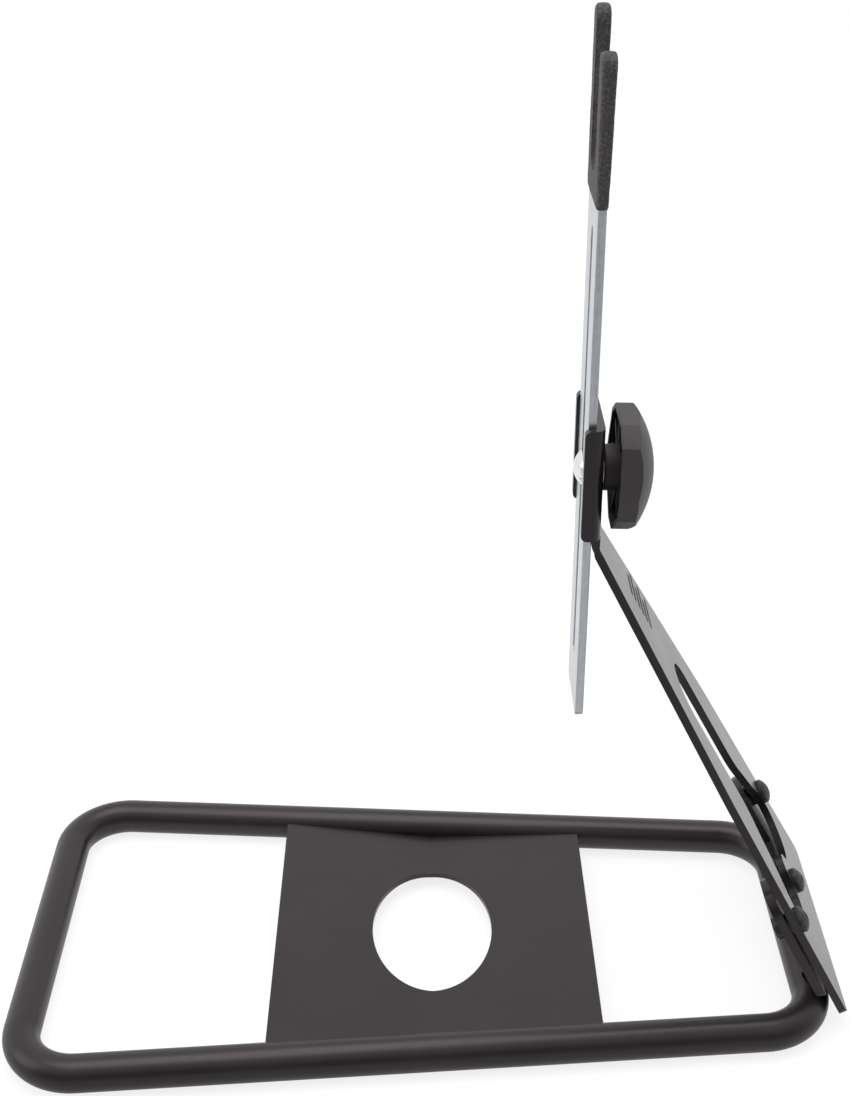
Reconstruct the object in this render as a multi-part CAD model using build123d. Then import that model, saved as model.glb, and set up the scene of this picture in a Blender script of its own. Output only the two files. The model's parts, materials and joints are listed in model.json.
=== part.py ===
from build123d import *
import os
from math import cos, sin, tan, radians, sqrt

# ---------------------------------------------------------------------------
# Driving sizes, in mm.  X runs back along the base, Y across it, Z up.
# The uprights stand at the +X end; the base lies on Z = 0.
# ---------------------------------------------------------------------------

# base loop of round tube
tube_d = 19.0
tube_wall = 1.5
loop_length = 406.0          # corner to corner, on the tube's centreline
loop_front = 211.0           # width at the -X end
loop_rear = 155.0            # width at the +X end
loop_bend = 30.0             # corner radius of the centreline

# folded plate between the long tubes
cross_x0 = -78.0
cross_x1 = 92.5
cross_t = 3.0
cross_edge_z = 14.5          # top face at the two free edges
cross_fold_x = 6.5
cross_fold_z = 9.6           # top face along the fold
oval_x = 65.0
oval_y = 95.0

# upright plate: a leaning sheet that turns vertical at the top
sheet_t = 4.0
lean = 28.54                 # degrees from vertical
foot_z = 11.0                # lower edge, back face
foot_gap = 1.2               # clear space between tube and upright
foot_half = 67.0             # half width at the foot of the slope
foot_lip = 1.7               # the sheet runs this far on below foot_z
waist_s = 137.0              # distance up the slope
waist_half = 51.8
neck_half = 20.4
fold_radius = 4.0
edge_round = 4.0

# opening in the upright
slot_half = 18.0
slot_top_s = 189.0
flare_s = 116.0
wing_half = 47.0
wing_s = 55.0
wing_floor_s = 37.0
tab_top_s = 52.0

# bolts that hold the upright to its bracket
side_bolt_s = 57.0
side_bolt_y = 53.7
mid_bolt_s = 35.0
bolt_d = 6.0
hole_d = 6.6
bolt_head_d = 13.4
bolt_head_h = 4.8
bolt_head_rim = 2.0
washer_d = 11.0
washer_t = 1.6               # the washers hold the two plates apart
nut_w = 10.0                 # across flats
nut_h = 3.0

# bracket plate welded on the rear tube
bracket_t = 4.5
bracket_inset = 1.0
bracket_top_s = 77.0
bracket_rise = 5.71          # its foot, up the slope from the tube's axis
bracket_window = 34.0        # half width of its opening
ear_round = 14.0             # outer corner of each ear
ear_inner_round = 7.0
weld_r = 2.6
weld_half = 49.0

# channel at the top of the upright and the bar that slides in it
bar_w = 40.0
bar_t = 4.0
bar_clear = 0.1
side_clear = 0.3
channel_z0 = 262.9
channel_z1 = 319.0
channel_reach = 1.5          # flanges stand this far past the bar's front
channel_round = 3.0
knob_z = 290.0

bar_z0 = 162.8
bar_slot_w = 6.6
bar_slot_z0 = 189.0
bar_slot_z1 = 407.0
crotch_z = 440.0             # centre of the round bottom between the prongs
prong_w = 10.0
prong_near_z = 485.0         # prong on the -Y side
prong_far_z = 498.5          # prong on the +Y side
cover_t = 1.0
cover_z0 = 419.0

# carriage bolt, washer and clamping knob
neck_w = 6.48
neck_l = 4.0
carriage_head_d = 16.5
carriage_head_h = 3.9
carriage_l = 19.0
clamp_washer_d = 18.0
clamp_washer_t = 1.6
hub_d = 22.0
hub_gap = 5.2                # hub length in front of the rim
knob_d = 60.6                # across the corners
rim_l = 8.3
dome_l = 10.0
rim_wall = 2.4
wide_flat = 48.0             # degrees; the narrow flats fill the rest of 72
flat_turn = 91.0             # where the first wide flat faces, from +Y
insert_d = 12.0
insert_l = 11.0

# ---------------------------------------------------------------------------
# Positions that follow from the sizes above
# ---------------------------------------------------------------------------
lean_c, lean_s = cos(radians(lean)), sin(radians(lean))
tube_r = tube_d / 2
rear_x = loop_length / 2
# the upright's back face clears the rear tube by foot_gap plus its own sheet
foot_x = rear_x + (tube_r + foot_gap + sheet_t - (foot_z - tube_r) * lean_s) / lean_c
tube_s = (foot_x - rear_x) * lean_s + (tube_r - foot_z) * lean_c
bracket_foot_s = tube_s + bracket_rise
centre_x = (foot_x + foot_lip * lean_s - loop_length / 2 - tube_r) / 2
stack_t = sheet_t + washer_t + bracket_t

bar_half = bar_w / 2
channel_half = bar_half + side_clear + sheet_t
slope_top = (channel_z0 - foot_z - 6.2) / lean_c
fold_x = foot_x - slope_top * lean_s
fold_z = foot_z + slope_top * lean_c
web_back = fold_x
web_front = web_back - sheet_t
bar_back = web_front - bar_clear
bar_front = bar_back - bar_t
channel_front = bar_front - channel_reach
head_face = bar_front - 0.05

leaning = Plane(origin=(foot_x, 0, foot_z), x_dir=(0, 1, 0), z_dir=(lean_c, 0, lean_s))
side_view = Plane.XZ          # local x = X, local y = Z, drawn at Y = 0


def along_x(x, y=0.0, z=knob_z):
    """A plane that looks along +X, for round parts on the knob's axis."""
    return Plane(origin=(x, y, z), x_dir=(0, 1, 0), z_dir=(1, 0, 0))


def sheet(face, plane, depth):
    """Give a sketch drawn on a plane its thickness, below the plane."""
    return extrude(plane * face, amount=-depth)


def mirrored(points):
    """Close a half outline, listed from the +Y side, with its mirror image."""
    return points + [(-y, s) for y, s in reversed(points)]


# ---------------------------------------------------------------------------
# Base
# ---------------------------------------------------------------------------
def loop_path():
    half = loop_length / 2
    corners = [(-half, -loop_front / 2), (half, -loop_rear / 2),
               (half, loop_rear / 2), (-half, loop_front / 2)]
    plan = make_face(Polyline(*corners, close=True))
    plan = fillet(plan.vertices(), radius=loop_bend)
    return Pos(0, 0, tube_r) * plan.face().outer_wire()


def loop_tube(radius):
    path = loop_path()
    start = Plane(origin=path @ 0, z_dir=path % 0)
    return sweep(start * Circle(radius), path=path)


def base_loop():
    return loop_tube(tube_r) - loop_tube(tube_r - tube_wall)


def cross_plate():
    top = [(cross_x0, cross_edge_z), (cross_fold_x, cross_fold_z), (cross_x1, cross_edge_z)]
    under = [(x, z - cross_t) for x, z in reversed(top)]
    profile = make_face(Polyline(*(top + under), close=True))
    plate = extrude(side_view * profile, amount=loop_front, both=True)
    half = loop_length / 2
    between = make_face(Polyline((-half, -loop_front / 2), (half, -loop_rear / 2),
                                 (half, loop_rear / 2), (-half, loop_front / 2), close=True))
    plate &= extrude(between, amount=tube_d)
    oval = extrude(Pos(cross_fold_x, 0) * Ellipse(oval_x / 2, oval_y / 2), amount=tube_d)
    return plate - oval - loop_tube(tube_r)


# ---------------------------------------------------------------------------
# Upright and bracket
# ---------------------------------------------------------------------------
def side_half(s, inset=0.0):
    """Half width of the upright at a distance up its slope."""
    if s < waist_s:
        return foot_half + (waist_half - foot_half) * s / waist_s - inset
    part = (s - waist_s) / (slope_top - waist_s)
    return waist_half + (neck_half - waist_half) * part - inset


def opening_outline():
    """A round-topped slot that flares into two wings around a middle tab."""
    wide = wing_half - slot_half
    flare = [(slot_half, flare_s), (slot_half + 0.28 * wide, flare_s - 23),
             (slot_half + 0.59 * wide, flare_s - 40), (slot_half + 0.81 * wide, flare_s - 49)]
    lobe = [(wing_half, wing_s), (wing_half - 2.5, wing_s - 9),
            (wing_half - 10, wing_floor_s + 3), (wing_half - 17, wing_floor_s + 0.5),
            (wing_half - 26, wing_floor_s + 0.3), (11, wing_floor_s + 5), (0, tab_top_s)]
    edge = [Spline(*(flare + lobe), tangents=[(0, -1), (-1, 0)]),
            Line((slot_half, flare_s), (slot_half, slot_top_s - slot_half))]
    arch = ThreePointArc((slot_half, slot_top_s - slot_half), (0, slot_top_s),
                         (-slot_half, slot_top_s - slot_half))
    other = [mirror(e, about=Plane.YZ) for e in edge]
    return make_face(edge + [arch] + other)


def bolt_places():
    return [(-side_bolt_y, side_bolt_s), (side_bolt_y, side_bolt_s), (0, mid_bolt_s)]


def bolt_holes():
    return [Pos(y, s) * Circle(hole_d / 2) for y, s in bolt_places()]


def leaning_sheet():
    foot = (side_half(-foot_lip), -foot_lip)
    outline = [foot, (waist_half, waist_s), (neck_half, slope_top - 3)]
    face = make_face(Polyline(*mirrored(outline), close=True))
    corners = face.vertices().sort_by(Axis.Y)[:2]
    face = fillet(corners, radius=edge_round)
    for hole in [opening_outline()] + bolt_holes():
        face -= hole
    return sheet(face, leaning, sheet_t)


def neck():
    """The strip that carries the slope round into the vertical web."""
    low = 24.0
    back = [(fold_x + low * lean_s, fold_z - low * lean_c), (fold_x, fold_z),
            (web_back, channel_z0 + 1)]
    front_fold = (web_front, fold_z + sheet_t * tan(radians(lean) / 2))
    front = [(web_front, channel_z0 + 1), front_fold,
             (back[0][0] - sheet_t * lean_c, back[0][1] - sheet_t * lean_s)]
    face = make_face(Polyline(*(back + front), close=True))
    inner = face.vertices().sort_by_distance((fold_x, fold_z, 0))[0]
    outer = face.vertices().sort_by_distance((front_fold[0], front_fold[1], 0))[0]
    face = fillet(inner, radius=fold_radius)
    outer = face.vertices().sort_by_distance((front_fold[0], front_fold[1], 0))[0]
    face = fillet(outer, radius=fold_radius + sheet_t)
    return extrude(side_view * face, amount=neck_half, both=True)


def channel():
    """The U-shaped guide: a web behind the bar and a flange on each side."""
    depth = web_back - channel_front
    outer = Pos((web_back + channel_front) / 2, 0) * Rectangle(depth, 2 * channel_half)
    outer = fillet(outer.vertices().sort_by(Axis.X)[-2:], radius=sheet_t + 1)
    room = 2 * channel_half
    gap = Pos(web_front - room / 2, 0) * Rectangle(room, 2 * (channel_half - sheet_t))
    gap = fillet(gap.vertices().sort_by(Axis.X)[-2:], radius=1)
    guide = extrude(Pos(0, 0, channel_z0) * (outer - gap), amount=channel_z1 - channel_z0)
    front = guide.edges().filter_by(Axis.Y).filter_by(lambda e: e.center().X < channel_front + 0.1)
    guide = fillet(front, radius=channel_round)
    hole = extrude(along_x(web_front - 1) * Circle(hole_d / 2), amount=sheet_t + 2)
    return guide - hole


def upright_plate():
    return leaning_sheet() + neck() + channel()


def bracket_plate():
    rows = [bracket_foot_s, bracket_top_s]
    outline = [(side_half(s, bracket_inset), s) for s in rows]
    middle = Pos(0, slot_top_s / 2) * Rectangle(2 * bracket_window, slot_top_s)
    face = make_face(Polyline(*mirrored(outline), close=True)) - (opening_outline() & middle)
    tops = face.vertices().filter_by(lambda v: v.Y > bracket_top_s - 0.01)
    face = fillet(tops.filter_by(lambda v: abs(v.X) > bracket_window + 1), radius=ear_round)
    inner = face.vertices().filter_by(lambda v: v.Y > bracket_top_s - 0.01 and
                                      abs(v.X) < bracket_window + 0.1)
    face = fillet(inner, radius=ear_inner_round)
    lows = face.vertices().filter_by(lambda v: v.Y < bracket_foot_s + 0.01)
    face = fillet(lows, radius=3)
    for hole in bolt_holes():
        face -= hole
    under = leaning.offset(-sheet_t - washer_t)
    return sheet(face, under, bracket_t) - loop_tube(tube_r)


def bracket_weld():
    """A bead in the corner between the bracket's inner face and the tube."""
    # the bracket's inner face, measured from the tube's axis
    reach = tube_r + foot_gap - washer_t - bracket_t
    up = sqrt((tube_r + weld_r * 0.4) ** 2 - (reach - weld_r * 0.4) ** 2)
    x = rear_x + lean_c * (reach - weld_r * 0.4) - lean_s * up
    z = tube_r + lean_s * (reach - weld_r * 0.4) + lean_c * up
    bead = Pos(x, 0, z) * Rot(X=90) * Cylinder(weld_r, 2 * weld_half)
    return bead - loop_tube(tube_r) - bracket_plate()


# ---------------------------------------------------------------------------
# Fixings for the bracket
# ---------------------------------------------------------------------------
def at_bolt(index):
    y, s = bolt_places()[index]
    return leaning * Pos(y, s)


def domed(half, rise, rim=0.0):
    """A button standing on Z = 0: a straight rim, then a round top."""
    height = rise - rim
    radius = (height ** 2 + half ** 2) / (2 * height)
    shoulder = (half / 2, rise - radius + sqrt(radius ** 2 - half ** 2 / 4))
    top = ThreePointArc((half, rim), shoulder, (0, rise))
    sides = [Line((0, rise), (0, 0)), Line((0, 0), (half, 0))]
    if rim:
        sides.append(Line((half, 0), (half, rim)))
    return revolve(side_view * make_face(sides + [top]), Axis.Z)


def dome_bolt():
    """Dome-headed screw; its head sits on the upright, its shank goes down -Z."""
    length = stack_t + nut_h + 0.3
    shank = Pos(0, 0, -length / 2) * Cylinder(bolt_d / 2, length)
    socket = Pos(0, 0, bolt_head_h) * extrude(RegularPolygon(2.3, 6), amount=-2.2)
    head = domed(bolt_head_d / 2, bolt_head_h, bolt_head_rim) - socket
    return shank + head


def washer(outer, inner, thick):
    return extrude(Circle(outer / 2) - Circle(inner / 2), amount=thick)


def dome_nut():
    body = extrude(RegularPolygon(nut_w / 2, 6, major_radius=False), amount=-nut_h)
    ball = Sphere(nut_w * 0.62)
    body = body & (Pos(0, 0, -nut_h * 0.25) * ball)
    return body - Pos(0, 0, -nut_h / 2) * Cylinder(bolt_d / 2, nut_h * 3)


# ---------------------------------------------------------------------------
# Sliding bar and its cover
# ---------------------------------------------------------------------------
def bar_plane(x):
    """Sketch plane across the bar: local x = Y, local y = Z, facing +X."""
    return Plane(origin=(x, 0, 0), x_dir=(0, 1, 0), z_dir=(1, 0, 0))


def bar_outline(grow=0.0, low=None):
    """Front view of the bar with its two prongs, or of the cover round them."""
    low = bar_z0 if low is None else low
    half = bar_half + grow
    gap = bar_half - prong_w - grow
    bend = (prong_w + 2 * grow) / 2 - 0.01
    outline = [(-half, low), (half, low), (half, prong_far_z - 1 + grow),
               (gap, prong_far_z - 1 + grow), (gap, crotch_z), (-gap, crotch_z),
               (-gap, prong_near_z - 1 + grow), (-half, prong_near_z - 1 + grow)]
    face = make_face(Polyline(*outline, close=True))
    face -= Pos(0, crotch_z) * Circle(gap)
    tips = face.vertices().filter_by(lambda v: v.Y > prong_near_z - 2)
    return fillet(tips, radius=bend)


def slide_bar():
    face = bar_outline()
    lows = face.vertices().filter_by(lambda v: v.Y < bar_z0 + 0.01)
    face = fillet(lows, radius=3)
    length = bar_slot_z1 - bar_slot_z0
    slot = Pos(0, (bar_slot_z0 + bar_slot_z1) / 2) * Rot(Z=90) * SlotOverall(length, bar_slot_w)
    bar = extrude(bar_plane(bar_front) * (face - slot), amount=bar_t)
    long_edges = bar.edges().filter_by(Axis.Z).filter_by(lambda e: abs(e.center().Y) > bar_half - 0.1)
    return fillet(long_edges, radius=0.5)


def fork_cover():
    """Rubber skin over both prongs and the crotch."""
    outer = extrude(bar_plane(bar_front - cover_t) * bar_outline(cover_t, cover_z0),
                    amount=bar_t + 2 * cover_t)
    return outer - slide_bar()


# ---------------------------------------------------------------------------
# Clamp: carriage bolt, washer and knob
# ---------------------------------------------------------------------------
def carriage_bolt():
    facing_front = Plane(origin=(head_face, 0, knob_z), x_dir=(0, 1, 0), z_dir=(-1, 0, 0))
    head = facing_front * domed(carriage_head_d / 2, carriage_head_h)
    neck_block = extrude(along_x(head_face) * Rectangle(neck_w, neck_w), amount=neck_l)
    shank = extrude(along_x(head_face) * Circle(bolt_d / 2), amount=carriage_l)
    return head + neck_block + shank


def clamp_washer():
    return along_x(web_back) * washer(clamp_washer_d, hole_d, clamp_washer_t)


def rim_outline(half):
    """Five wide flats joined by five narrow ones."""
    angles = []
    for k in range(5):
        middle = flat_turn + 72 * k
        angles += [middle - wide_flat / 2, middle + wide_flat / 2]
    points = [(half * cos(radians(a)), half * sin(radians(a))) for a in angles]
    return make_face(Polyline(*points, close=True))


def knob_body():
    front = web_back + clamp_washer_t + 0.05
    rim = front + hub_gap
    hub = extrude(along_x(front) * Circle(hub_d / 2), amount=hub_gap + rim_l)
    block = extrude(along_x(rim) * rim_outline(knob_d / 2), amount=rim_l + dome_l)
    half = knob_d / 2
    block &= along_x(rim) * domed(half, rim_l + dome_l, rim_l)
    room = rim_outline(half - rim_wall) - Circle(hub_d / 2)
    block -= extrude(along_x(rim) * room, amount=rim_l - 1)
    bore = extrude(along_x(front) * Circle(insert_d / 2), amount=insert_l)
    return hub + block - bore


def knob_insert():
    front = web_back + clamp_washer_t + 0.05
    sleeve = along_x(front) * washer(insert_d, bolt_d + 0.06, insert_l)
    return sleeve


# ---------------------------------------------------------------------------
# Write every node
# ---------------------------------------------------------------------------
def all_nodes():
    nodes = {
        "base_loop": base_loop(),
        "cross_plate": cross_plate(),
        "bracket_plate": bracket_plate(),
        "bracket_weld": bracket_weld(),
        "upright_plate": upright_plate(),
        "slide_bar": slide_bar(),
        "fork_cover": fork_cover(),
        "carriage_bolt": carriage_bolt(),
        "clamp_washer": clamp_washer(),
        "knob_body": knob_body(),
        "knob_insert": knob_insert(),
    }
    for index, name in enumerate(["near", "far", "mid"]):
        spot = at_bolt(index)
        nodes["bolt_" + name] = spot * dome_bolt()
        between = spot * Pos(0, 0, -sheet_t - washer_t)
        nodes["washer_" + name] = between * washer(washer_d, bolt_d + 0.1, washer_t)
        nodes["nut_" + name] = spot * Pos(0, 0, -stack_t) * dome_nut()
    return nodes


os.makedirs("parts", exist_ok=True)
for name, shape in all_nodes().items():
    shape = Pos(-centre_x, 0, 0) * shape
    solids = shape.solids()
    if len(solids) == 1:
        shape = solids[0]
    shape.label = name
    export_step(shape, "parts/" + name + ".step")
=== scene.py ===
import json
import bmesh
import bpy
from math import cos, pi, radians, sin, sqrt, tan
from mathutils import Matrix, Vector, noise


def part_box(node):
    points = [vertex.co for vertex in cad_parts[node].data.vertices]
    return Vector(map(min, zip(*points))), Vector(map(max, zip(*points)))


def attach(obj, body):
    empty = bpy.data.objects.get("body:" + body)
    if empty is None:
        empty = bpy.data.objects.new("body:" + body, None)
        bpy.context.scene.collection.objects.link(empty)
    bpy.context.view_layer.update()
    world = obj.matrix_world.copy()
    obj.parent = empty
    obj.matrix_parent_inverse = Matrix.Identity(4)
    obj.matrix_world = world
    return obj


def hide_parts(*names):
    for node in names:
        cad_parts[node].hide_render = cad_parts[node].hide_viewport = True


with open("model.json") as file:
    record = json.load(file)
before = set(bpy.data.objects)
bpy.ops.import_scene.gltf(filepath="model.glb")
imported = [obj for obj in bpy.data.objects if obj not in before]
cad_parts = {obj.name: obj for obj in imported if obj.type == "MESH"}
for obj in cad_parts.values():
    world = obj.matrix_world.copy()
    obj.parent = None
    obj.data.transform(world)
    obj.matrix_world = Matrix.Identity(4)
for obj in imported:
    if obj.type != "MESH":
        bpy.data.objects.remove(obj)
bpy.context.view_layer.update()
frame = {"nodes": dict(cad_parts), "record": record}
print("frame loaded:", len(frame["nodes"]), "nodes")

mm = 0.001
# distances small enough to count as none: in merging, in cutting, between levels, and at a round's end
hair = {"merge": 0.002 * mm, "seam": 0.005 * mm, "level": 0.01 * mm, "spare": 0.02 * mm}
bodyOf = {node: body for body, members in frame["record"]["behaviour"]["bodies"].items()
          for node in members}
slotOf = {part["node"]: part["material_slot"] for part in frame["record"]["subparts"]}


# shader maths
class Signal:
    # one output in a node tree, so that shader maths reads as arithmetic
    def __init__(self, tree, socket=None):
        self.tree = tree
        self.socket = socket

    def node(self, kind, settings=None, inputs=None, out=0):
        made = self.tree.nodes.new("ShaderNode" + kind)
        for key, value in (settings or {}).items():
            if key == "stops":
                setStops(made.color_ramp, value)
            else:
                setattr(made, key, value)
        for key, value in (inputs or {}).items():
            if isinstance(value, Signal):
                self.tree.links.new(value.socket, made.inputs[key])
            else:
                made.inputs[key].default_value = value
        return Signal(self.tree, made.outputs[out])

    def maths(self, operation, first, second):
        return self.node("Math", {"operation": operation}, {0: first, 1: second})

    def __add__(self, other):
        return self.maths("ADD", self, other)

    def __sub__(self, other):
        return self.maths("SUBTRACT", self, other)

    def __rsub__(self, other):
        return self.maths("SUBTRACT", other, self)

    def __mul__(self, other):
        return self.maths("MULTIPLY", self, other)

    __radd__ = __add__
    __rmul__ = __mul__


def setStops(ramp, stops):
    while len(ramp.elements) < len(stops):
        ramp.elements.new(0.5)
    for element, (place, value) in zip(ramp.elements, stops):
        element.position = place
        element.color = (value, value, value, 1)


def objectPoint(shader, stretch=(1, 1, 1)):
    place = shader.node("TexCoord", out="Object")
    return shader.node("Mapping", {}, {"Vector": place, "Scale": stretch})


def grain(shader, size, detail=2.0, rough=0.5, stretch=(1, 1, 1)):
    # noise whose features are about size metres across
    return shader.node("TexNoise", {}, {"Vector": objectPoint(shader, stretch), "Scale": 1 / size,
                                        "Detail": detail, "Roughness": rough})


def ramp(shader, value, stops):
    return shader.node("ValToRGB", {"stops": stops}, {"Fac": value})


def mixColour(shader, amount, first, second):
    return shader.node("Mix", {"data_type": "RGBA"}, {0: amount, 6: first, 7: second}, out=2)


def bump(shader, height, depth, strength=1.0):
    return shader.node("Bump", {}, {"Height": height, "Distance": depth, "Strength": strength})


def shade(name, recipe, look):
    # a material from a recipe, which returns the inputs of its surface
    material = bpy.data.materials.new(name)
    material.use_nodes = True
    tree = material.node_tree
    tree.nodes.clear()
    shader = Signal(tree)
    surface = shader.node("BsdfPrincipled", {}, recipe(shader, look))
    target = tree.nodes.new("ShaderNodeOutputMaterial")
    tree.links.new(surface.socket, target.inputs["Surface"])
    return material


def grey(level, tint=(1, 1, 1)):
    return (level * tint[0], level * tint[1], level * tint[2], 1)


# finishes, one recipe and one set of numbers for each slot
def powderCoat(shader, look):
    # baked powder: faint cloudiness, an orange-peel skin and fine dust in it
    cloud = grain(shader, look["cloudSize"], 3)
    peel = grain(shader, look["peelSize"], 2)
    dust = grain(shader, look["dustSize"], 1)
    colour = mixColour(shader, ramp(shader, cloud, [(0.3, 0), (0.7, 1)]),
                       grey(look["dark"], look["tint"]), grey(look["light"], look["tint"]))
    rough = look["rough"] + look["roughSpread"] * (cloud - 0.5) + look["dustRough"] * (dust - 0.5)
    height = peel * look["peelShare"] + dust * (1 - look["peelShare"])
    return {"Base Color": colour, "Roughness": rough, "Specular IOR Level": look["shine"],
            "Specular Tint": grey(1, look["gleam"]), "Normal": bump(shader, height, look["depth"])}


def zincPlate(shader, look):
    # rolled steel under bright zinc: streaks along the bar, soft spangle, a few specks
    streak = grain(shader, look["streakSize"], 3, 0.6, look["streakStretch"])
    spangle = grain(shader, look["spangleSize"], 2)
    speck = ramp(shader, grain(shader, look["speckSize"], 1), [(0.70, 0), (0.78, 1)])
    tone = streak * 0.6 + spangle * 0.4
    colour = mixColour(shader, ramp(shader, tone, [(0.35, 0), (0.65, 1)]),
                       grey(look["dark"], look["tint"]), grey(look["light"], look["tint"]))
    colour = mixColour(shader, speck * look["speckShare"], colour, grey(look["speckTone"]))
    rough = look["rough"] + look["roughSpread"] * (tone - 0.5) + 0.15 * speck
    return {"Base Color": colour, "Metallic": 1.0, "Roughness": rough,
            "Normal": bump(shader, streak, look["depth"])}


def plainSteel(shader, look):
    scratch = grain(shader, look["scratchSize"], 3, 0.6, look["scratchStretch"])
    colour = mixColour(shader, scratch, grey(look["dark"], look["tint"]), grey(look["light"], look["tint"]))
    return {"Base Color": colour, "Metallic": 1.0, "Roughness": look["rough"] + 0.12 * (scratch - 0.5),
            "Normal": bump(shader, scratch, look["depth"])}


def blackOxide(shader, look):
    # dull black screws with a little grey showing through and dust in the corners
    wear = grain(shader, look["wearSize"], 4, 0.6)
    speck = grain(shader, look["speckSize"], 2)
    colour = mixColour(shader, ramp(shader, wear, [(0.42, 0), (0.72, 1)]),
                       grey(look["dark"], look["tint"]), grey(look["light"], look["tint"]))
    rough = look["rough"] + 0.2 * (wear - 0.5)
    return {"Base Color": colour, "Roughness": rough, "Metallic": look["metal"],
            "Specular IOR Level": look["shine"], "Normal": bump(shader, speck, look["depth"])}


def dippedRubber(shader, look):
    # matt dipped skin: pebbled, its colour paler on the crests of the pebbling and darker in its hollows
    pebble = grain(shader, look["pebbleSize"], 2, 0.6)
    fine = grain(shader, look["fineSize"], 2)
    crest = ramp(shader, pebble * 0.7 + fine * 0.3, [(0.46, 0), (0.66, 1)])
    cloud = grain(shader, look["cloudSize"], 2)
    colour = mixColour(shader, crest * (0.5 + cloud), grey(look["dark"], look["tint"]),
                       grey(look["light"], look["tint"]))
    return {"Base Color": colour, "Roughness": look["rough"] + 0.1 * (fine - 0.5),
            "Specular IOR Level": look["shine"],
            "Normal": bump(shader, pebble * 0.6 + fine * 0.4, look["depth"])}


def mouldedPlastic(shader, look):
    # spark-eroded mould texture, a touch smoother where hands rub it
    spark = grain(shader, look["sparkSize"], 2, 0.6)
    rub = grain(shader, look["rubSize"], 2)
    colour = mixColour(shader, rub, grey(look["dark"], look["tint"]), grey(look["light"], look["tint"]))
    return {"Base Color": colour, "Roughness": look["rough"] + 0.16 * (rub - 0.5),
            "Specular IOR Level": look["shine"], "Normal": bump(shader, spark, look["depth"])}


def printedInk(shader, look):
    worn = ramp(shader, grain(shader, look["wornSize"], 3, 0.7), [(0.36, 0), (0.52, 1)])
    colour = mixColour(shader, worn, grey(look["bare"]), grey(look["ink"]))
    return {"Base Color": colour, "Roughness": look["rough"] + 0.2 * (1 - worn)}


coat = {"dark": 0.0085, "light": 0.0120, "tint": (1.12, 0.96, 1.0), "rough": 0.34, "roughSpread": 0.08,
        "dustRough": 0.06, "shine": 0.5, "gleam": (1.0, 0.88, 0.92),
        "cloudSize": 0.030, "peelSize": 0.0013, "dustSize": 0.00035,
        "peelShare": 0.7, "depth": 0.00001}
finishes = {
    "tube_paint": (powderCoat, {**coat, "rough": 0.34}),
    "plate_paint": (powderCoat, {**coat, "rough": 0.25, "depth": 0.000007, "peelSize": 0.0010}),
    "weld": (powderCoat, {**coat, "rough": 0.26, "peelSize": 0.0008, "depth": 0.00002}),
    "zinc": (zincPlate, {"dark": 0.48, "light": 0.64, "tint": (0.95, 1.0, 1.05), "rough": 0.30,
                         "roughSpread": 0.14, "streakSize": 0.0006, "streakStretch": (1, 1, 0.03),
                         "spangleSize": 0.004, "speckSize": 0.0011, "speckShare": 0.5,
                         "speckTone": 0.25, "depth": 0.000006}),
    "bright": (plainSteel, {"dark": 0.72, "light": 0.86, "tint": (1.0, 1.0, 1.0), "rough": 0.12,
                            "scratchSize": 0.0008, "scratchStretch": (1, 1, 1), "depth": 0.000003}),
    "black_screw": (blackOxide, {"dark": 0.014, "light": 0.060, "tint": (1.05, 0.99, 0.98), "rough": 0.50,
                                 "metal": 0.15, "shine": 0.5, "wearSize": 0.0026,
                                 "speckSize": 0.0004, "depth": 0.00003}),
    "rubber": (dippedRubber, {"dark": 0.048, "light": 0.120, "tint": (1.06, 0.97, 0.99), "rough": 0.74,
                              "shine": 0.4, "pebbleSize": 0.0011, "fineSize": 0.0004,
                              "cloudSize": 0.009, "depth": 0.00012}),
    "knob_plastic": (mouldedPlastic, {"dark": 0.039, "light": 0.048, "tint": (1.12, 0.94, 1.0),
                                      "rough": 0.50, "shine": 0.45, "sparkSize": 0.0005,
                                      "rubSize": 0.012, "depth": 0.00003}),
    "insert": (plainSteel, {"dark": 0.42, "light": 0.60, "tint": (1.0, 0.98, 0.94), "rough": 0.30,
                            "scratchSize": 0.0012, "scratchStretch": (0.2, 1, 1), "depth": 0.000004}),
}
materials = {slot: shade(slot + "Finish", recipe, look) for slot, (recipe, look) in finishes.items()}
inkMaterial = shade("printedInk", printedInk, {"ink": 0.0035, "bare": 0.012, "wornSize": 0.0012, "rough": 0.62})
print("finishes made:", len(materials) + 1)


# helpers that turn meshes into pieces
def asPiece(bm, name, body, slot, replaced=(), material=None, smooth=True):
    mesh = bpy.data.meshes.new(name)
    bm.to_mesh(mesh)
    bm.free()
    if "custom_normal" in mesh.attributes:      # the CAD skin's own normals no longer fit
        mesh.attributes.remove(mesh.attributes["custom_normal"])
    for face in mesh.polygons:
        face.use_smooth = smooth
    piece = bpy.data.objects.new(name, mesh)
    bpy.context.scene.collection.objects.link(piece)
    mesh.materials.append(material or materials[slot])
    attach(piece, body)
    if replaced:
        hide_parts(*replaced)
    return piece


def roundEdges(piece, width, segments=3, angle=30):
    soft = piece.modifiers.new("roundedEdges", "BEVEL")
    soft.width = width
    soft.segments = segments
    soft.limit_method = "ANGLE"
    soft.angle_limit = radians(angle)
    soft.harden_normals = True
    soft.use_clamp_overlap = True
    return piece


def mergedCopy(node):
    # the CAD surface as one skin: loose triangles welded, flat areas made whole
    bm = bmesh.new()
    bm.from_mesh(frame["nodes"][node].data)
    bmesh.ops.remove_doubles(bm, verts=bm.verts, dist=hair["merge"])
    bmesh.ops.dissolve_limit(bm, angle_limit=radians(0.4), verts=bm.verts, edges=bm.edges,
                             use_dissolve_boundaries=False)
    return bm


def softenedCopy(node, name, width, segments=3, angle=30):
    bm = mergedCopy(node)
    piece = asPiece(bm, name, bodyOf[node], slotOf[node], [node])
    return roundEdges(piece, width, segments, angle)


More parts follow.
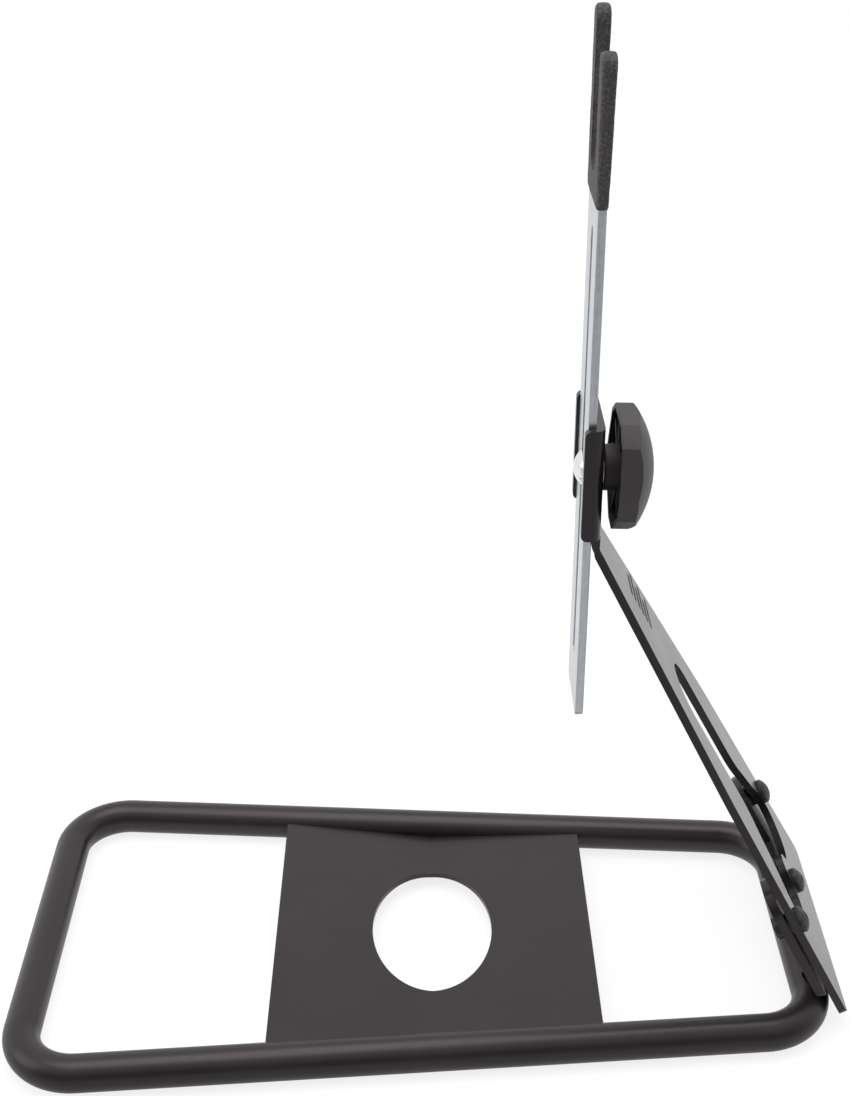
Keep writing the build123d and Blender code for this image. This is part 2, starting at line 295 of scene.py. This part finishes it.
# the CAD nodes themselves
for node, piece in frame["nodes"].items():
    for holder in piece.material_slots:
        holder.material = materials[slotOf[node]]
print("CAD nodes painted")


# plates and bar, with their sharp edges eased
easedEdges = {
    "upright_plate": ("uprightPlate", 0.55, 3, 35),
    "bracket_plate": ("bracketPlate", 0.50, 3, 35),
    "cross_plate": ("crossPlate", 0.30, 2, 40),
    "slide_bar": ("slideBar", 0.28, 2, 40),
}
for node, (name, width, segments, angle) in easedEdges.items():
    softenedCopy(node, name, width * mm, segments, angle)
print("plates and bar eased")


# the base: one round tube, bent at four corners
baseTube = {"cornerRadius": 30.0, "frontWidth": 211.0, "rearWidth": 155.0, "radius": 9.5,
            "bendSteps": 18, "around": 48}


def bendCorners(look):
    low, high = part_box("base_loop")
    radius = look["radius"] * mm
    rear, front = high.x - radius, low.x + radius
    return [Vector((front, -look["frontWidth"] / 2 * mm, radius)),
            Vector((rear, -look["rearWidth"] / 2 * mm, radius)),
            Vector((rear, look["rearWidth"] / 2 * mm, radius)),
            Vector((front, look["frontWidth"] / 2 * mm, radius))]


def loopStations(look):
    # points and headings round the loop: each bend is an arc, and the runs between are straight
    corners = bendCorners(look)
    bend = look["cornerRadius"] * mm
    stations = []
    for index, corner in enumerate(corners):
        into = (corner - corners[index - 1]).normalized()
        out = (corners[(index + 1) % 4] - corner).normalized()
        turn = into.angle(out)
        start = corner - into * bend * tan(turn / 2)
        side = Vector((-into.y, into.x, 0))
        centre = start + side * bend
        for step in range(look["bendSteps"] + 1):
            spin = Matrix.Rotation(turn * step / look["bendSteps"], 4, "Z")
            stations.append((centre + spin @ (start - centre), spin @ into))
    return stations


def makeBaseLoop(look):
    bm = bmesh.new()
    rings = []
    for point, heading in loopStations(look):
        upright = heading.to_track_quat("Z", "Y").to_matrix().to_4x4()
        ring = bmesh.ops.create_circle(bm, segments=look["around"], radius=look["radius"] * mm,
                                       matrix=Matrix.Translation(point) @ upright)
        rings.append([edge for edge in bm.edges if edge.verts[0] in ring["verts"]
                      and edge.verts[1] in ring["verts"]])
    for index, ring in enumerate(rings):
        bmesh.ops.bridge_loops(bm, edges=ring + rings[(index + 1) % len(rings)])
    bmesh.ops.recalc_face_normals(bm, faces=bm.faces)
    return asPiece(bm, "baseLoop", bodyOf["base_loop"], "tube_paint", ["base_loop"])


makeBaseLoop(baseTube)
print("base loop bent")


# the rubber skin on the fork
forkSkin = {"armWidth": 12.0, "crotchDrop": 67.5, "shortArmDrop": 13.5, "edgeRound": 1.7, "cornerRound": 2.5,
            "voxel": 0.55, "smoothing": 4, "waist": -0.35, "nearSwell": 1.3, "farSwell": 0.9,
            "waveSize": 14.0, "wave": 0.16, "pebbleSize": 1.5, "pebble": 0.085}


def forkOutline(look, low, high):
    half = high.y
    inner = half - look["armWidth"] * mm
    crotch = high.z - look["crotchDrop"] * mm
    short = high.z - look["shortArmDrop"] * mm
    return [(-half, low.z), (half, low.z), (half, high.z), (inner, high.z),
            (inner, crotch), (-inner, crotch), (-inner, short), (-half, short)]


def forkBlank(look, low, high):
    bm = bmesh.new()
    corners = [bm.verts.new((low.x, y, z)) for y, z in forkOutline(look, low, high)]
    bm.faces.new(corners)
    arm = look["armWidth"] * mm
    rounds = {"tip": (corners[2:4] + corners[6:8], arm / 2 - hair["spare"]),
              "crotch": (corners[4:6], high.y - arm - hair["spare"]),
              "foot": (corners[0:2], look["cornerRound"] * mm)}
    for members, radius in rounds.values():
        bmesh.ops.bevel(bm, geom=members, offset=radius, affect="VERTICES", segments=10,
                        profile=0.5, material=-1)
    extruded = bmesh.ops.extrude_face_region(bm, geom=list(bm.faces))
    moved = [item for item in extruded["geom"] if isinstance(item, bmesh.types.BMVert)]
    bmesh.ops.translate(bm, verts=moved, vec=(high.x - low.x, 0, 0))
    bmesh.ops.recalc_face_normals(bm, faces=bm.faces)
    rim = [edge for edge in bm.edges if len(edge.link_faces) == 2
           and edge.calc_face_angle() > radians(60)
           and abs(edge.verts[0].co.x - edge.verts[1].co.x) < hair["level"]]
    bmesh.ops.bevel(bm, geom=rim, offset=look["edgeRound"] * mm, affect="EDGES", segments=4,
                    profile=0.5, material=-1)
    return bm


def evenSkin(bm, voxel):
    # an even grid of small faces over the same shape, for surface detail
    mesh = bpy.data.meshes.new("blank")
    bm.to_mesh(mesh)
    bm.free()
    blank = bpy.data.objects.new("blank", mesh)
    bpy.context.scene.collection.objects.link(blank)
    grid = blank.modifiers.new("grid", "REMESH")
    grid.mode = "VOXEL"
    grid.voxel_size = voxel
    graph = bpy.context.evaluated_depsgraph_get()
    result = bmesh.new()
    result.from_object(blank, graph)
    bpy.data.objects.remove(blank)
    return result


def makeForkCover(look):
    low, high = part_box("fork_cover")
    bm = evenSkin(forkBlank(look, low, high), look["voxel"] * mm)
    for step in range(look["smoothing"]):
        bmesh.ops.smooth_vert(bm, verts=bm.verts, factor=0.5, use_axis_x=True, use_axis_y=True,
                              use_axis_z=True)
    bm.normal_update()
    middle = (low.x + high.x) / 2
    for vert in bm.verts:
        up = (vert.co.z - low.z) / (high.z - low.z)
        swell = look["nearSwell"] if vert.co.y < 0 else look["farSwell"]
        wave = noise.noise(vert.co / (look["waveSize"] * mm)) * look["wave"]
        pebble = noise.noise(vert.co / (look["pebbleSize"] * mm)) * look["pebble"]
        vert.co += vert.normal * (wave + pebble) * mm
        if vert.co.x > middle:
            vert.co.x += (look["waist"] + swell * up) * mm * min(1, (vert.co.x - middle) / (1.5 * mm))
    bmesh.ops.recalc_face_normals(bm, faces=bm.faces)
    return asPiece(bm, "forkCover", bodyOf["fork_cover"], "rubber", ["fork_cover"])


makeForkCover(forkSkin)
print("fork cover dipped")


# the clamping knob
starKnob = {"rimLength": 8.3, "domeLength": 10.0, "radius": 30.3, "wideFlat": 48.0, "flatTurn": 91.0,
            "rimWall": 2.1, "recess": 7.3, "domeSteps": 22, "spinSteps": 120, "edgeRound": 0.75,
            "hubLength": 5.2, "hubRadius": 11.0, "boreRadius": 6.0, "boreDepth": 11.0, "hubSteps": 64,
            "hubRound": 0.4, "hubRoot": 0.5, "ribs": 10, "ribThick": 1.5, "ribSink": 1.6, "ribRound": 0.3,
            "ribBite": 0.3, "flatShare": 0.93, "lean": 1.3, "standOff": 0.25}


def knobCentre(look):
    # the middle of the rim's front face, on the knob's axis
    ring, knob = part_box("clamp_washer"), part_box("knob_body")
    return Vector((knob[0].x + look["hubLength"] * mm, 0, (ring[0].z + ring[1].z) / 2))


def settle(bm, look):
    # the clamped knob sits a little out of true on its thread
    centre = knobCentre(look)
    heel = centre - Vector((look["hubLength"] * mm, 0, 0))
    bmesh.ops.rotate(bm, verts=bm.verts, cent=heel, matrix=Matrix.Rotation(radians(look["lean"]), 3, "Y"))
    bmesh.ops.translate(bm, verts=bm.verts, vec=(look["standOff"] * mm, 0, 0))


def spun(bm, profile, centre, steps):
    # profile holds (along the axis, radius) pairs in mm
    verts = [bm.verts.new(centre + Vector((along, 0, 0)) * mm + Vector((0, out, 0)) * mm)
             for along, out in profile]
    edges = [bm.edges.new(pair) for pair in zip(verts, verts[1:])]
    bmesh.ops.spin(bm, geom=verts + edges, cent=centre, axis=(1, 0, 0), angle=2 * pi,
                   steps=steps, use_merge=True)
    bmesh.ops.remove_doubles(bm, verts=bm.verts, dist=hair["seam"])
    bmesh.ops.recalc_face_normals(bm, faces=bm.faces)


def domeProfile(look):
    radius, rise, rim = look["radius"], look["domeLength"], look["rimLength"]
    ball = (rise * rise + radius * radius) / (2 * rise)
    points = [(0, 0), (0, radius)]
    for step in range(look["domeSteps"] + 1):
        out = radius * (1 - step / look["domeSteps"])
        points.append((rim + rise - ball + sqrt(ball * ball - out * out), out))
    return points


def flatAngles(look):
    narrow = 72 - look["wideFlat"]
    flats = []
    for index in range(5):
        middle = look["flatTurn"] + 72 * index
        flats.append((middle, look["wideFlat"] / 2))
        flats.append((middle + 36, narrow / 2))
    return flats


def facesAt(bm, x):
    return [face for face in bm.faces if abs(face.calc_center_median().x - x) < hair["level"]]


def makeKnob(look):
    # a domed disc, cut to ten flats and then hollowed from the front inside a thin rim
    centre = knobCentre(look)
    bm = bmesh.new()
    spun(bm, domeProfile(look), centre, look["spinSteps"])
    for angle, half in flatAngles(look):
        reach = look["radius"] * cos(radians(half)) * mm
        outward = Vector((0, cos(radians(angle)), sin(radians(angle))))
        cut = bmesh.ops.bisect_plane(bm, geom=list(bm.verts) + list(bm.edges) + list(bm.faces),
                                     dist=hair["merge"], plane_co=centre + outward * reach,
                                     plane_no=outward, clear_outer=True)
        rim = [item for item in cut["geom_cut"] if isinstance(item, bmesh.types.BMEdge)
               and item.is_boundary]
        bmesh.ops.holes_fill(bm, edges=rim, sides=0)
    bmesh.ops.dissolve_faces(bm, faces=facesAt(bm, centre.x), use_verts=True)
    front = facesAt(bm, centre.x)
    bmesh.ops.recalc_face_normals(bm, faces=bm.faces)
    bmesh.ops.inset_region(bm, faces=front, thickness=look["rimWall"] * mm, use_even_offset=True)
    floor = bmesh.ops.extrude_face_region(bm, geom=front)
    bmesh.ops.delete(bm, geom=front, context="FACES_ONLY")
    bmesh.ops.translate(bm, vec=(look["recess"] * mm, 0, 0),
                        verts=[item for item in floor["geom"] if isinstance(item, bmesh.types.BMVert)])
    bmesh.ops.recalc_face_normals(bm, faces=bm.faces)
    settle(bm, look)
    piece = asPiece(bm, "knobBody", bodyOf["knob_body"], "knob_plastic", ["knob_body"])
    return roundEdges(piece, look["edgeRound"] * mm, 3, 16)


def makeKnobHub(look):
    centre = knobCentre(look)
    length, hub, bore = look["hubLength"], look["hubRadius"], look["boreRadius"]
    floor = look["boreDepth"] - length
    bm = bmesh.new()
    root = look["recess"] + look["hubRoot"]
    outline = [(floor, 0), (floor, bore), (-length, bore), (-length, hub), (root, hub)]
    spun(bm, outline, centre, look["hubSteps"])
    settle(bm, look)
    piece = asPiece(bm, "knobHub", bodyOf["knob_body"], "knob_plastic")
    return roundEdges(piece, look["hubRound"] * mm, 3, 40)


def makeKnobRibs(look):
    # thin walls that stiffen the hollow front of the knob
    centre = knobCentre(look)
    bite = look["ribBite"]          # how far a rib runs into what it joins
    inner = look["hubRadius"] - bite
    outer = look["radius"] * look["flatShare"] - look["rimWall"] + bite
    depth = look["recess"] + bite - look["ribSink"]
    bm = bmesh.new()
    for index in range(look["ribs"]):
        rib = bmesh.ops.create_cube(bm, size=1.0)["verts"]
        bmesh.ops.scale(bm, vec=Vector((depth, outer - inner, look["ribThick"])) * mm, verts=rib)
        place = centre + Vector((look["ribSink"] + depth / 2, (inner + outer) / 2, 0)) * mm
        bmesh.ops.translate(bm, vec=place, verts=rib)
        turn = radians(look["flatTurn"] + 360 / look["ribs"] * (index + 0.5))
        bmesh.ops.rotate(bm, verts=rib, cent=centre, matrix=Matrix.Rotation(turn, 3, "X"))
    settle(bm, look)
    piece = asPiece(bm, "knobRibs", bodyOf["knob_body"], "knob_plastic", smooth=False)
    return roundEdges(piece, look["ribRound"] * mm, 2)


makeKnob(starKnob)
makeKnobHub(starKnob)
makeKnobRibs(starKnob)
print("knob moulded")


# the weld along the bracket's foot
bracketBead = {"radius": 2.7, "pitch": 1.5, "ripple": 0.32, "wander": 0.35, "around": 14, "stepsPerRipple": 4,
               "endSize": 0.35, "wanderAcross": 220, "wanderUp": 260}


def makeWeld(look):
    # a disc drawn along the corner, swelling and shrinking once for each ripple
    low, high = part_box("bracket_weld")
    centre = Vector(((low.x + high.x) / 2, low.y, (low.z + high.z) / 2))
    length = high.y - low.y
    steps = int(length / (look["pitch"] * mm)) * look["stepsPerRipple"]
    bm = bmesh.new()
    disc = bmesh.ops.create_circle(bm, segments=look["around"], radius=look["radius"] * mm, cap_ends=True,
                                   matrix=Matrix.Translation(centre) @ Matrix.Rotation(pi / 2, 4, "X"))
    face = disc["verts"][0].link_faces[0]
    for step in range(1, steps + 1):
        along = length * step / steps
        ripple = (step % look["stepsPerRipple"]) / look["stepsPerRipple"]
        fromEnd = min(step, steps - step) / look["stepsPerRipple"]
        ends = min(1.0, look["endSize"] + (1 - look["endSize"]) * fromEnd)
        size = (1 - look["ripple"] * ripple * ripple) * ends
        drift = Vector((noise.noise((0.3, along * look["wanderAcross"], 1.7)), 0,
                        noise.noise((4.1, along * look["wanderUp"], 0.2))))
        middle = centre + Vector((0, along, 0)) + drift * look["wander"] * mm
        grown = bmesh.ops.extrude_face_region(bm, geom=[face])
        fresh = [item for item in grown["geom"] if isinstance(item, bmesh.types.BMVert)]
        bmesh.ops.delete(bm, geom=[face], context="FACES_ONLY")
        face = [item for item in grown["geom"] if isinstance(item, bmesh.types.BMFace)][0]
        for vert in fresh:
            inFace = face.calc_center_median()
            radial = Vector((vert.co.x, 0, vert.co.z)) - Vector((inFace.x, 0, inFace.z))
            vert.co = middle + radial.normalized() * look["radius"] * size * mm
    bmesh.ops.recalc_face_normals(bm, faces=bm.faces)
    return asPiece(bm, "bracketWeld", bodyOf["bracket_weld"], "weld", ["bracket_weld"])


makeWeld(bracketBead)
print("weld laid")


# a plain printed patch on the upright's back face
leaningSheet = {"lean": 28.54, "footHeight": 11.0, "footLip": 1.7}
inkPatch = {"slope": 228.0, "width": 54.0, "height": 26.0, "lift": 0.05, "ringRadius": 9.0, "ringWidth": 1.6,
            "ringSteps": 40, "bars": 6, "barWidth": 27.0, "shortBar": 0.72, "barHeight": 2.4}


def leaningFrame(look):
    # local x across the stand, y up the slope, z out of the upright's back face
    lean = radians(look["lean"])
    low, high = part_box("upright_plate")
    foot = Vector((high.x - look["footLip"] * mm * sin(lean), 0, look["footHeight"] * mm))
    across, up = Vector((0, 1, 0)), Vector((-sin(lean), 0, cos(lean)))
    out = across.cross(up)
    return Matrix((
        (across.x, up.x, out.x, foot.x), (across.y, up.y, out.y, foot.y),
        (across.z, up.z, out.z, foot.z), (0, 0, 0, 1)))


def flatBar(bm, x, y, width, height, lift):
    bar = bmesh.ops.create_cube(bm, size=1.0)["verts"]
    bmesh.ops.scale(bm, vec=Vector((width, height, lift)) * mm, verts=bar)
    bmesh.ops.translate(bm, vec=Vector((x, y, lift / 2)) * mm, verts=bar)


def makePatch(look):
    # a plain block of ruled bars beside a ring: no words and no mark
    bm = bmesh.new()
    ringX = -look["width"] / 2 + look["ringRadius"]
    outline = bmesh.ops.create_circle(bm, segments=look["ringSteps"], radius=look["ringRadius"] * mm,
                                      cap_ends=True, matrix=Matrix.Translation((ringX * mm, 0, 0)))
    disc = outline["verts"][0].link_faces[0]
    bmesh.ops.inset_region(bm, faces=[disc], thickness=look["ringWidth"] * mm)
    bmesh.ops.delete(bm, geom=[disc], context="FACES_ONLY")
    ring = bmesh.ops.extrude_face_region(bm, geom=list(bm.faces))
    bmesh.ops.translate(bm, vec=(0, 0, look["lift"] * mm),
                        verts=[item for item in ring["geom"] if isinstance(item, bmesh.types.BMVert)])
    for index in range(look["bars"]):
        y = (index - (look["bars"] - 1) / 2) * look["height"] / look["bars"]
        width = look["barWidth"] * (1.0 if index % 2 == 0 else look["shortBar"])
        x = look["width"] / 2 - look["barWidth"] + width / 2
        flatBar(bm, x, y, width, look["barHeight"], look["lift"])
    bmesh.ops.recalc_face_normals(bm, faces=bm.faces)
    place = leaningFrame(leaningSheet) @ Matrix.Translation((0, look["slope"] * mm, 0))
    bmesh.ops.transform(bm, matrix=place, verts=bm.verts)
    return asPiece(bm, "printedPatch", "stand", "plate_paint", material=inkMaterial, smooth=False)


makePatch(inkPatch)
print("patch printed")


# bolts, washers and nuts
easedFixings = {"bolt": ("head", 0.35, 3, 32), "nut": ("eased", 0.25, 2, 32), "washer": ("eased", 0.25, 2, 40)}
for place in ("near", "far", "mid"):
    for kind, (ending, width, segments, angle) in easedFixings.items():
        node = kind + "_" + place
        softenedCopy(node, node + "_" + ending, width * mm, segments, angle)
print("fixings eased")


# the studio: glow gives the light thrown across the floor, from its -Y edge to its +Y edge
studio = {"floorSize": 9.0, "floorTone": 0.86, "glowShare": 0.74, "seen": 1.10,
          "glow": [(0.43, 0.42), (0.485, 0.58), (0.499, 1.0)]}


def makeFloor(look):
    # paper that shows white, and throws less light back from its -Y side
    bm = bmesh.new()
    bmesh.ops.create_grid(bm, x_segments=1, y_segments=1, size=look["floorSize"] / 2)
    mesh = bpy.data.meshes.new("floor")
    bm.to_mesh(mesh)
    bm.free()
    floor = bpy.data.objects.new("floor", mesh)
    bpy.context.scene.collection.objects.link(floor)
    material = bpy.data.materials.new("floorPaper")
    material.use_nodes = True
    tree = material.node_tree
    tree.nodes.clear()
    shader = Signal(tree)
    split = shader.node("SeparateXYZ", {}, {"Vector": objectPoint(shader)})
    along = Signal(tree, split.socket.node.outputs["Y"])
    thrown = ramp(shader, along * (1 / look["floorSize"]) + 0.5, look["glow"])
    seen = shader.node("LightPath", out="Is Camera Ray")
    strength = shader.maths("MAXIMUM", thrown, seen * look["seen"])
    glow = shader.node("Emission", {}, {"Color": (1, 1, 1, 1), "Strength": strength})
    paper = shader.node("BsdfDiffuse", {}, {"Color": grey(look["floorTone"])})
    both = shader.node("MixShader", {}, {0: look["glowShare"], 1: paper, 2: glow})
    target = tree.nodes.new("ShaderNodeOutputMaterial")
    tree.links.new(both.socket, target.inputs["Surface"])
    mesh.materials.append(material)


surround = {"ahead": [(0.15, 0.22), (0.62, 1.0)], "above": [(0.25, 0.0), (0.85, 0.9)], "seen": 1.10}


def makeWorld(look):
    # white all round, dimmer low down towards -Y
    world = bpy.data.worlds.new("studio")
    bpy.context.scene.world = world
    world.use_nodes = True
    tree = world.node_tree
    tree.nodes.clear()
    shader = Signal(tree)
    direction = shader.node("TexCoord", out="Generated")
    split = shader.node("SeparateXYZ", {}, {"Vector": direction})
    parts = split.socket.node
    ahead = Signal(tree, parts.outputs["Y"])
    height = Signal(tree, parts.outputs["Z"])
    front = ramp(shader, ahead * 0.5 + 0.5, look["ahead"])
    above = ramp(shader, height, look["above"])
    level = shader.maths("MAXIMUM", front, above)
    seen = shader.node("LightPath", out="Is Camera Ray")
    strength = shader.maths("MAXIMUM", level, seen * look["seen"])
    light = shader.node("Background", {}, {"Color": (1, 1, 1, 1), "Strength": strength})
    target = tree.nodes.new("ShaderNodeOutputWorld")
    tree.links.new(light.socket, target.inputs["Surface"])


# where each soft box stands, what it points at, its two sides and its power
softBoxes = {
    "overhead": ((-0.1, 0.1, 1.9), (0.0, 0.0, 0.0), (1.6, 1.2), 14.0),
    "leftBank": ((-2.0, -0.4, 1.1), (0.0, 0.0, 0.1), (1.2, 1.6), 9.0),
}


def makeLight(name, place, aim, size, power):
    lamp = bpy.data.lights.new(name, "AREA")
    lamp.shape = "RECTANGLE"
    lamp.size, lamp.size_y = size
    lamp.energy = power
    holder = bpy.data.objects.new(name, lamp)
    bpy.context.scene.collection.objects.link(holder)
    holder.location = place
    holder.rotation_euler = (Vector(aim) - Vector(place)).to_track_quat("-Z", "Y").to_euler()


lens = {"place": (-0.0036, -0.71796, 0.63615), "pitch": 28.4360, "yaw": 0.2807, "roll": -0.2538,
        "focal": 1696.68, "frameHeight": 1096, "sensor": 36.0}


def makeCamera(look):
    camera = bpy.data.cameras.new("camera")
    camera.sensor_width = look["sensor"]
    camera.lens = look["sensor"] * look["focal"] / look["frameHeight"]
    camera.clip_start, camera.clip_end = 0.01, 50
    holder = bpy.data.objects.new("camera", camera)
    bpy.context.scene.collection.objects.link(holder)
    turn = Matrix.Rotation(-radians(look["yaw"]), 4, "Z") @ \
        Matrix.Rotation(radians(90 - look["pitch"]), 4, "X") @ \
        Matrix.Rotation(radians(look["roll"]), 4, "Z")
    holder.matrix_world = Matrix.Translation(look["place"]) @ turn
    bpy.context.scene.camera = holder


makeFloor(studio)
makeWorld(surround)
for name, settings in softBoxes.items():
    makeLight(name, *settings)
makeCamera(lens)
bpy.context.scene.view_settings.view_transform = "Standard"
print("studio lit")

bpy.context.view_layer.update()
